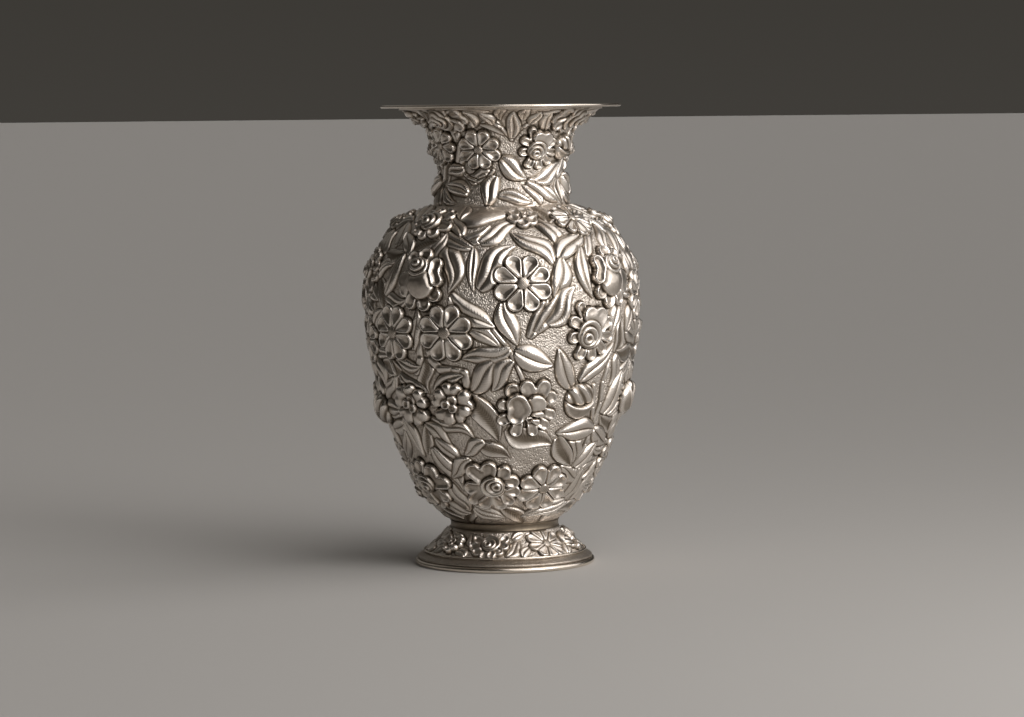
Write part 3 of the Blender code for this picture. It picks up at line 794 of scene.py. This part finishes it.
def dress_neck():
    wall = Wall(neck_side(), NECK_COLUMNS, NECK_ROWS, SEED + 1)
    for shift in FRONT_AND_BACK:
        greenery(wall, (), NECK_STEMS, shift)
        spray(wall, 90 + shift, 32, 8.5, 7)
        greenery(wall, NECK_LEAVES, (), shift)
    for shift in FRONT_AND_BACK:
        daisy(wall, -19 + shift, 32, 12.0, rise=2.8, swell=1.6)
        daisy(wall, -59 + shift, 29.5, 11.0, turn=10, rise=2.8)
        rose(wall, 31 + shift, 32.5, FULL_ROSE, 0.76, heart=5.6, swell=1.8)
        side_rose(wall, -41 + shift, 10.5, 0.85, -1)
        bud(wall, 62 + shift, 31, 7.0, turn=10, rise=4.0, swell=2.8)
        side_rose(wall, 56 + shift, 10.5, 0.85, 1)
        rose(wall, 98 + shift, 11, FULL_ROSE, 0.56, heart=4.4, swell=1.4)
        rose(wall, 90 + shift, 32, OPEN_ROSE, 0.56, heart=4.2, swell=2.0, turn=30)
    keep = [(shift + deg, along, NECK_BARE_RADIUS) for shift in FRONT_AND_BACK for deg, along in NECK_BARE]
    fill(wall, 48, 12.0, keep)
    return wall


# Foot, one third: places are degrees from its middle and millimetres down from its top
SKIRT_STEMS = ((1.5, 1.0, ((-42, 17), (-50, 12), (-54, 8))),)
SKIRT_LEAVES = (
    ((1, 18), (13, 6), 7.5, 0.8, 0.0, 2, 2.0, 0.0),
    ((13, 18), (22, 10), 5.6, -0.8, 0.0, 2, 1.8, 0.0),
    ((7, 5), (20, 2), 5.0, -0.6, 0.0, 2, 1.8, 0.0),
    ((-31, 18), (-43, 13), 6.4, 0.8, 0.0, 2, 1.8, 0.0),
    ((-29, 10), (-36, 2), 6.4, 0.6, 0.0, 2, 1.8, 0.0),
    ((55, 18), (60, 8), 6.4, 0.8, 0.0, 2, 1.8, 0.0),
)


def dress_skirt():
    wall = Wall(skirt_side(), SKIRT_COLUMNS, SKIRT_ROWS, SEED + 2)
    for shift in FOOT_THIRDS:
        greenery(wall, SKIRT_LEAVES, SKIRT_STEMS, shift)
    for shift in FOOT_THIRDS:
        daisy(wall, 38 + shift, 9.6, 11.4, turn=20, petals=9, rise=1.9, swell=1.0)
        rose(wall, -12 + shift, 9.0, OPEN_ROSE[:4], 0.7, heart=5.4, swell=1.2, turn=30)
        bud(wall, -54 + shift, 8.5, 5.2, turn=150, rise=2.6, swell=1.0)
        cluster(wall, 70 + shift, 10, 0.6, turn=10, swell=1.2)
    return wall


def finish_wall(wall, height, fade_top, fade_foot):
    """Adds uneven ground, lets the work die out at both edges, and reads the tarnish from the hollows,
    with painted shade under the raised work.
    """
    rows, columns = wall.relief.shape
    waves = blur(wall.random.standard_normal((rows, columns)), 9.0, 9.0)
    waves *= 0.10 / waves.std()
    fine = blur(wall.random.standard_normal((rows, columns)), 0.8, 0.8)
    fine *= 0.05 / fine.std()
    relief = height * (wall.relief + wall.swelling) + waves + fine * wall.ground
    fade = smooth(wall.along / fade_top) * smooth((wall.length - wall.along) / fade_foot)
    wall.relief = relief * fade[:, None]
    near = blur(wall.relief, 1.6, 1.6) - wall.relief
    wide = blur(wall.relief, 5.0, 5.0) - wall.relief
    rubbed = np.clip(-near / 0.45, 0.0, 1.0)
    # Darkness from the motifs' marks (tarnish, with painted shade on the bowls and calyxes) and from the
    # small hollows (tarnish); the wide term is painted shade under the raised flowers and leaves; rubbed
    # ridges come out brighter.
    dirt = 0.22 + 0.6 * wall.ink + 0.5 * np.clip(near, 0, 1) + 0.16 * np.clip(wide, 0, 2)
    dirt = dirt - 0.34 * rubbed
    wall.dirt = np.clip(dirt, 0.0, 1.0)
    wall.ground *= fade[:, None]


class Shell:
    """Collects rings of points, joins each to the next, and makes one mesh with its own flat map."""

    def __init__(self):
        self.rings = []

    def add(self, radius, height, columns, dirt=0.0, ground=0.0, weight=1.0):
        """Adds a ring. weight is its share of the flat map's length."""
        angle = np.radians(np.arange(columns) * 360.0 / columns - 180.0)
        radius = np.broadcast_to(np.asarray(radius, float), (columns,))
        height = np.broadcast_to(np.asarray(height, float), (columns,))
        points = np.stack([radius * np.sin(angle), -radius * np.cos(angle), height], axis=1) * MM
        dirt = np.broadcast_to(np.asarray(dirt, float), (columns,))
        ground = np.broadcast_to(np.asarray(ground, float), (columns,))
        self.rings.append((points, dirt, ground, weight))

    def pole(self, height, dirt):
        """Adds a single point on the axis."""
        self.rings.append((np.array([[0.0, 0.0, height * MM]]), np.array([dirt]), np.zeros(1), 1.0))

    def build(self, name, material, closed):
        counts = [len(ring[0]) for ring in self.rings]
        starts = np.concatenate([[0], np.cumsum(counts)])
        points = np.concatenate([ring[0] for ring in self.rings])
        rows = list(range(len(counts)))
        pairs = list(zip(rows[:-1], rows[1:]))
        if closed:
            pairs.append((rows[-1], rows[0]))
        travel = [0.0]
        for a, b in pairs:
            step = np.linalg.norm(self.rings[b][0][0] - self.rings[a][0][0])
            travel.append(travel[-1] + max(step, 1e-6) * self.rings[b][3])
        travel = np.array(travel) / travel[-1]
        loops, sizes, maps = [], [], []
        for k, (a, b) in enumerate(pairs):
            faces, across = join(counts[a], counts[b])
            on_first = faces[:, :, 0] == 0
            loops.append(np.where(on_first, starts[a], starts[b]) + faces[:, :, 1])
            maps.append(np.stack([across, np.where(on_first, travel[k], travel[k + 1])], axis=2))
            sizes.append(np.full(len(faces), faces.shape[1]))
        return make_mesh(name, points, loops, sizes, maps, self.rings, material)


def join(first, second):
    """Faces between two rings, as (ring, column) corners, and each corner's place round the map."""
    few, many = min(first, second), max(first, second)
    k = np.arange(many)
    after = (k + 1) % many
    if first == second:
        corners = [(0, k, k), (1, k, k), (1, after, k + 1), (0, after, k + 1)]
    elif second == 1:
        corners = [(0, k, k), (1, 0 * k, k + 0.5), (0, after, k + 1)]
    elif first == 1:
        corners = [(0, 0 * k, k + 0.5), (1, k, k), (1, after, k + 1)]
    else:
        share = many // few
        fine, coarse = (0, 1) if first > second else (1, 0)
        k = np.arange(few)
        end = (k + 1) * share
        corners = [(coarse, k, k * share), (coarse, (k + 1) % few, end)]
        corners += [(fine, (end - j) % many, end - j) for j in range(share + 1)]
        if fine == 1:
            corners = corners[::-1]
    faces = [np.stack([np.full(len(k), ring), column], axis=1) for ring, column, _ in corners]
    across = [place / many for _, _, place in corners]
    return np.stack(faces, axis=1), np.stack(across, axis=1)


def make_mesh(name, points, loops, sizes, maps, rings, material):
    """One piece from its points and faces, with its flat map, its tarnish and painted shade, and its bare
    ground.
    """
    mesh = bpy.data.meshes.new(name)
    corners = np.concatenate([part.ravel() for part in loops]).astype(np.int32)
    sizes = np.concatenate(sizes).astype(np.int32)
    mesh.vertices.add(len(points))
    mesh.vertices.foreach_set("co", points.astype(np.float32).ravel())
    mesh.loops.add(len(corners))
    mesh.loops.foreach_set("vertex_index", corners)
    mesh.polygons.add(len(sizes))
    firsts = np.concatenate([[0], np.cumsum(sizes)[:-1]])
    mesh.polygons.foreach_set("loop_start", firsts.astype(np.int32))
    mesh.update(calc_edges=True)
    flat = mesh.uv_layers.new(name="OFBake")
    places = np.concatenate([part.reshape(-1, 2) for part in maps])
    flat.data.foreach_set("uv", (0.004 + 0.992 * places).astype(np.float32).ravel())
    for label, index in (("dirt", 1), ("ground", 2)):
        layer = mesh.attributes.new(label, "FLOAT", "POINT")
        values = np.concatenate([ring[index] for ring in rings])
        layer.data.foreach_set("value", values.astype(np.float32))
    mesh.polygons.foreach_set("use_smooth", np.ones(len(sizes), bool))
    mesh.validate()
    mesh.materials.append(material)
    piece = bpy.data.objects.new(name, mesh)
    bpy.context.scene.collection.objects.link(piece)
    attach(piece, "root")
    return piece


def outer_rings(shell, wall):
    """The chased face, from its top row to its foot."""
    columns = wall.relief.shape[1]
    for k in range(len(wall.along)):
        radius = wall.line[k, 0] + wall.normal[k, 0] * wall.relief[k]
        height = wall.line[k, 1] + wall.normal[k, 1] * wall.relief[k]
        shell.add(radius, height, columns, wall.dirt[k], wall.ground[k])


def inner_rings(shell, wall, rows):
    """The back of the sheet, from its foot to its top, with the work showing softly in reverse."""
    columns = wall.relief.shape[1]
    soft = blur(wall.relief, 4.0, 4.0)
    low = np.minimum(soft, wall.relief + 0.15)
    picks = np.linspace(len(wall.along) - 1, 0, rows).round().astype(int)
    span = max(2, len(wall.along) // rows)
    for k in picks:
        band = low[max(0, k - span) : k + span + 1].min(axis=0)
        sunk = np.minimum(np.minimum(band, np.roll(band, 2)), np.roll(band, -2))[::INNER_SHARE]
        sunk = np.minimum(sunk, 0.5 * (np.roll(sunk, 1) + np.roll(sunk, -1))) - WALL
        radius = wall.line[k, 0] + wall.normal[k, 0] * sunk
        height = wall.line[k, 1] + wall.normal[k, 1] * sunk
        shell.add(radius, height, columns // INNER_SHARE, 0.35, 0.0, 0.35)


def belly_piece(material):
    wall = dress_belly()
    finish_wall(wall, height=0.8, fade_top=1.4, fade_foot=4.0)
    shell = Shell()
    few = BELLY_COLUMNS // INNER_SHARE
    dish = []
    for k in range(1, BOTTOM_ROWS + 1):
        height = BELLY_BASE + BOTTOM_DISH * (1 - (k / BOTTOM_ROWS) ** 2)
        dish.append((BELLY_SEAT_RADIUS * k / BOTTOM_ROWS, height))
    shell.pole(BELLY_BASE + BOTTOM_DISH + WALL, 0.5)
    for radius, height in dish:
        shell.add(radius, height + WALL, few, 0.5, 0.0, 0.3)
    inner_rings(shell, wall, 110)
    outer_rings(shell, wall)
    for radius, height in dish[::-1]:
        shell.add(radius, height, few, 0.6, 0.0, 0.3)
    shell.pole(BELLY_BASE + BOTTOM_DISH, 0.6)
    piece = shell.build("chased_belly", material, False)
    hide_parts("belly_shell")


def neck_piece(material):
    wall = dress_neck()
    finish_wall(wall, height=0.9, fade_top=5.0, fade_foot=1.2)
    shell = Shell()
    outer_rings(shell, wall)
    few = NECK_COLUMNS // INNER_SHARE
    for radius in (SPIGOT_RADIUS, SPIGOT_RADIUS - WALL):
        shell.add(radius, BELLY_TOP - SPIGOT_LENGTH, few, 0.6, 0.0, 0.3)
    inner_rings(shell, wall, 60)
    piece = shell.build("chased_neck", material, True)
    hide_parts("neck_shell")


def skirt_piece(material):
    wall = dress_skirt()
    finish_wall(wall, height=0.62, fade_top=1.5, fade_foot=1.5)
    shell = Shell()
    outer_rings(shell, wall)
    columns = SKIRT_COLUMNS
    angle = np.arange(columns)
    for k in range(1, BAND_ROWS + 1):
        share = k / BAND_ROWS
        mat = 0.16 * (np.cos(np.pi * angle / 2 + np.pi * k) if 1 < k < BAND_ROWS - 1 else 0.0)
        radius = BAND_TOP[0] + share * (SKIRT_EDGE_RADIUS - BAND_TOP[0])
        height = BAND_TOP[1] + share * (SKIRT_BASE + WALL - BAND_TOP[1]) + mat
        shell.add(radius, height, columns, 0.45 - 1.2 * mat, 0.4)
    few = columns // INNER_SHARE
    shell.add(SKIRT_EDGE_RADIUS, SKIRT_BASE, few, 0.5, 0.0, 0.3)
    shell.add(SKIRT_EDGE_RADIUS - SKIRT_SEAT, SKIRT_BASE, few, 0.5, 0.0, 0.3)
    inner_rings(shell, wall, 18)
    shell.add(SKIRT_LIP_RADIUS, FOOT_HEIGHT - WALL, few, 0.6, 0.0, 0.3)
    shell.add(SKIRT_LIP_RADIUS, FOOT_HEIGHT, few, 0.5, 0.0, 0.3)
    piece = shell.build("chased_foot", material, True)
    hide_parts("foot_skirt")


def ring_piece(name, node, outline, material, dirt=0.1):
    """Plain ring or wire turned from a closed outline, very slightly out of true as handwork is."""
    shell = Shell()
    angle = np.arange(RING_SEGMENTS) * 2 * np.pi / RING_SEGMENTS
    wander = 0.05 * np.cos(2 * angle + 0.7) + 0.03 * np.cos(5 * angle + 1.9)
    for radius, height in outline:
        shell.add(radius + wander, height, RING_SEGMENTS, dirt, 0.0)
    piece = shell.build(name, material, True)
    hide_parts(node)


def round_wire(centre, radius, steps):
    return arc(centre, radius, radius, 90, -270, steps)[:-1]


def flange_outline():
    """Flat ring with its edges just broken, from its bore up and round."""
    top, inner = FLANGE_BASE + FLANGE_THICKNESS, NECK_LIP_RADIUS - FLANGE_LAP
    across = np.linspace(inner + 0.3, FLANGE_RADIUS - 0.1, 14)
    bore = [(inner, FLANGE_BASE + 0.35), (inner, top - 0.3)]
    rim = [(FLANGE_RADIUS, top - 0.2), (FLANGE_RADIUS, FLANGE_BASE + 0.2)]
    return bore + [(r, top) for r in across] + rim + [(r, FLANGE_BASE) for r in across[::-1]]


def plain_pieces(material):
    ring_piece("rim_edge", "rim_wire", round_wire(RIM_WIRE_CENTRE, RIM_WIRE_RADIUS, 16), material)
    ring_piece("mouth_ring", "mouth_flange", flange_outline(), material, 0.15)
    half = 0.5 * COLLAR_HEIGHT
    groove = arc((COLLAR_RADIUS, COLLAR_BASE + half), COLLAR_HOLLOW, half, 90, 270, 14)
    back = [(COLLAR_INNER_RADIUS, COLLAR_BASE), (COLLAR_INNER_RADIUS, COLLAR_BASE + COLLAR_HEIGHT)]
    # The collar's heavy darkening is painted shade for the shadowed crease between belly and foot.
    ring_piece("collar_ring", "foot_collar", np.concatenate([groove, back]), material, 0.62)
    low, high = np.array(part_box("foot_bead")) / MM
    middle = (high[0] - BEAD_RADIUS, 0.5 * (low[2] + high[2]))
    ring_piece("bead_ring", "foot_bead", round_wire(middle, BEAD_RADIUS, 12), material, 0.2)
    half = 0.5 * FOOT_WIRE_HEIGHT
    side = arc((SKIRT_EDGE_RADIUS, half), half, half, 90, -90, 16)
    top, foot = (FOOT_WIRE_INNER_RADIUS, FOOT_WIRE_HEIGHT), (FOOT_WIRE_INNER_RADIUS, 0.0)
    wire = np.concatenate([[top], side, [foot]])
    ring_piece("foot_ring", "foot_wire", wire, material, 0.15)


class Nodes:
    """Short way to add and link shader nodes."""

    def __init__(self, tree):
        self.tree = tree

    def new(self, kind, **sockets):
        node = self.tree.nodes.new(kind)
        for name, value in sockets.items():
            self.put(node.inputs[name.replace("_", " ")], value)
        return node

    def put(self, socket, value):
        if isinstance(value, bpy.types.NodeSocket):
            self.tree.links.new(value, socket)
        else:
            socket.default_value = value

    def maths(self, operation, first, second=0.0, third=0.0, clamp=False):
        node = self.tree.nodes.new("ShaderNodeMath")
        node.operation = operation
        node.use_clamp = clamp
        self.put(node.inputs[0], first)
        self.put(node.inputs[1], second)
        self.put(node.inputs[2], third)
        return node.outputs[0]

    def scatter(self, noise, amount, middle=0.5):
        """A noise round zero, times an amount."""
        return self.maths("MULTIPLY", self.maths("SUBTRACT", noise, middle), amount)

    def bump(self, height, strength, distance, below=None):
        """Bump over an earlier bump, where there is one."""
        node = self.new("ShaderNodeBump", Strength=strength, Distance=distance, Height=height)
        if below is not None:
            self.put(node.inputs["Normal"], below)
        return node.outputs["Normal"]

    def attribute(self, name):
        node = self.tree.nodes.new("ShaderNodeAttribute")
        node.attribute_name = name
        return node.outputs["Fac"]

    def noise(self, vector, scale, detail, roughness):
        node = self.new("ShaderNodeTexNoise", Vector=vector)
        for name, value in (("Scale", scale), ("Detail", detail), ("Roughness", roughness)):
            node.inputs[name].default_value = value
        return node.outputs["Fac"]

    def ramp(self, value, stops):
        node = self.tree.nodes.new("ShaderNodeValToRGB")
        self.put(node.inputs["Fac"], value)
        band = node.color_ramp
        while len(band.elements) < len(stops):
            band.elements.new(0.5)
        for element, (place, colour) in zip(band.elements, stops):
            element.position = place
            element.color = (*colour, 1.0)
        return node.outputs["Color"]


def new_material(name):
    material = bpy.data.materials.new(name)
    material.use_nodes = True
    nodes = Nodes(material.node_tree)
    shader = material.node_tree.nodes["Principled BSDF"]
    shader.inputs["Metallic"].default_value = 1.0
    return material, nodes, shader


# Colour of the silver by tarnish and painted shade, from rubbed bright to black
SILVER_STOPS = (
    (0.00, (0.885, 0.83, 0.77)),
    (0.30, (0.69, 0.625, 0.56)),
    (0.62, (0.255, 0.212, 0.165)),
    (1.00, (0.022, 0.017, 0.012)),
)


def chased_silver():
    """Old chased silver: bright on the ridges, black with tarnish in the recesses and painted shade under
    the raised work, matted on the ground.
    """
    material, nodes, shader = new_material("old_chased_silver")
    place = nodes.new("ShaderNodeTexCoord").outputs["Object"]
    dirt, ground = nodes.attribute("dirt"), nodes.attribute("ground")
    patches = nodes.noise(place, 60.0, 4.0, 0.65)
    specks = nodes.noise(place, 700.0, 2.0, 0.5)
    cells = nodes.new("ShaderNodeTexVoronoi", Scale=1000.0, Vector=place).outputs["Distance"]
    grain = nodes.maths("MULTIPLY", nodes.maths("SUBTRACT", 0.62, cells, clamp=True), ground)
    total = nodes.maths("ADD", dirt, nodes.scatter(patches, 0.35))
    total = nodes.maths("ADD", total, nodes.maths("MULTIPLY", grain, 0.32))
    total = nodes.maths("ADD", total, nodes.scatter(specks, 0.16), clamp=True)
    nodes.put(shader.inputs["Base Color"], nodes.ramp(total, SILVER_STOPS))
    rough = nodes.maths("MULTIPLY_ADD", total, 0.30, 0.25)
    rough = nodes.maths("ADD", rough, nodes.maths("MULTIPLY", ground, 0.08), clamp=True)
    nodes.put(shader.inputs["Roughness"], rough)
    dents = nodes.bump(nodes.maths("MULTIPLY", grain, -1.0), 1.0, 0.0006)
    uneven = nodes.bump(nodes.noise(place, 210.0, 2.0, 0.5), 0.5, 0.0006, dents)
    scuffs = nodes.bump(nodes.noise(place, 1500.0, 2.0, 0.5), 0.12, 0.00012, uneven)
    nodes.put(shader.inputs["Normal"], scuffs)
    return material


def plain_silver():
    """Plain polished silver with fine rubbing round the axis and faint tarnish; the collar's darkening is
    painted shade.
    """
    material, nodes, shader = new_material("plain_old_silver")
    place = nodes.new("ShaderNodeTexCoord").outputs["Object"]
    dirt = nodes.attribute("dirt")
    patches = nodes.noise(place, 45.0, 4.0, 0.65)
    specks = nodes.noise(place, 900.0, 2.0, 0.5)
    total = nodes.maths("ADD", dirt, nodes.scatter(patches, 0.5, 0.42))
    total = nodes.maths("ADD", total, nodes.scatter(specks, 0.12), clamp=True)
    stops = [(share, (r, 0.985 * g, 0.95 * b)) for share, (r, g, b) in SILVER_STOPS]
    nodes.put(shader.inputs["Base Color"], nodes.ramp(total, stops))
    nodes.put(shader.inputs["Roughness"], nodes.maths("MULTIPLY_ADD", total, 0.35, 0.16, clamp=True))
    rubbing = nodes.new("ShaderNodeMapping", Vector=place, Scale=(1.0, 1.0, 14.0)).outputs["Vector"]
    lines = nodes.noise(rubbing, 500.0, 3.0, 0.6)
    nodes.put(shader.inputs["Normal"], nodes.bump(lines, 0.15, 0.00010))
    return material


# Colour of the surround by height, from the horizon up
SURROUND_STOPS = (
    (0.00, (0.050, 0.046, 0.040)),
    (0.12, (0.034, 0.031, 0.026)),
    (0.40, (0.026, 0.023, 0.019)),
)
FLOOR_COLOUR = (0.48, 0.465, 0.445, 1.0)
FLOOR_REACH = 60.0  # metres
FLOOR_SIDES = 96


def pale_floor():
    mesh = bpy.data.meshes.new("floor")
    angles = np.arange(FLOOR_SIDES) * 2 * np.pi / FLOOR_SIDES
    points = [(FLOOR_REACH * math.cos(a), FLOOR_REACH * math.sin(a), 0.0) for a in angles]
    mesh.from_pydata(points, [], [list(range(FLOOR_SIDES))])
    floor = bpy.data.objects.new("floor", mesh)
    bpy.context.scene.collection.objects.link(floor)
    material = bpy.data.materials.new("pale_floor")
    material.use_nodes = True
    shader = material.node_tree.nodes["Principled BSDF"]
    shader.inputs["Base Color"].default_value = FLOOR_COLOUR
    shader.inputs["Roughness"].default_value = 0.8
    mesh.materials.append(material)


def studio():
    """Dim surround, a broad light from the right, a weak one from behind and a small soft lamp."""
    world = bpy.data.worlds.new("surround")
    bpy.context.scene.world = world
    world.use_nodes = True
    nodes = Nodes(world.node_tree)
    direction = nodes.new("ShaderNodeTexCoord").outputs["Generated"]
    height = nodes.new("ShaderNodeSeparateXYZ", Vector=direction).outputs["Z"]
    background = world.node_tree.nodes["Background"]
    nodes.put(background.inputs["Color"], nodes.ramp(height, SURROUND_STOPS))
    sky_light("sky", 62, 33, 98, 2.35, (1.0, 0.97, 0.95))
    sky_light("rear_sky", 200, 50, 80, 0.15, (1.0, 0.97, 0.92))
    soft_box("key", (0.75, -0.60, 0.50), 0.65, 4.5, (1.0, 0.98, 0.96))


def soft_box(name, place, size, power, colour):
    """Round soft lamp that faces the vase."""
    light = bpy.data.lights.new(name, "AREA")
    light.shape = "DISK"
    light.size = size
    light.energy = power
    light.color = colour
    obj = bpy.data.objects.new(name, light)
    bpy.context.scene.collection.objects.link(obj)
    obj.visible_camera = False
    obj.location = place
    aim(obj, (0.0, 0.0, 0.12), 0.0)


def sky_light(name, degrees, height, spread, strength, colour):
    """Broad light without falloff, from an angle to the camera's right and a height above the floor."""
    light = bpy.data.lights.new(name, "SUN")
    light.angle = math.radians(spread)
    light.energy = strength
    light.color = colour
    obj = bpy.data.objects.new(name, light)
    bpy.context.scene.collection.objects.link(obj)
    lift, turn = math.radians(height), math.radians(degrees)
    level = 2 * math.cos(lift)
    obj.location = (level * math.sin(turn), -level * math.cos(turn), 2 * math.sin(lift))
    aim(obj, (0.0, 0.0, 0.0), 0.0)


def aim(obj, target, roll):
    """Turns a lamp or the camera to face a point, rolled by some degrees."""
    away = Vector(target) - Vector(obj.location)
    facing = away.to_track_quat("-Z", "Y").to_matrix().to_4x4()
    obj.rotation_euler = (facing @ Matrix.Rotation(math.radians(roll), 4, "Z")).to_euler()


def camera():
    """Long lens level with the vase's rim, with a slight roll."""
    lens = bpy.data.cameras.new("camera")
    lens.sensor_width = 36.0
    lens.lens = 117.6
    lens.clip_end = 100.0
    obj = bpy.data.objects.new("camera", lens)
    bpy.context.scene.collection.objects.link(obj)
    obj.location = (0.0, -1.85, 0.254)
    aim(obj, (0.005, 0.0, 0.1133), -0.55)
    bpy.context.scene.camera = obj


camera()
pale_floor()
studio()
bpy.context.scene.view_settings.view_transform = "Standard"
chased, plain = chased_silver(), plain_silver()
belly_piece(chased)
neck_piece(chased)
skirt_piece(chased)
plain_pieces(plain)
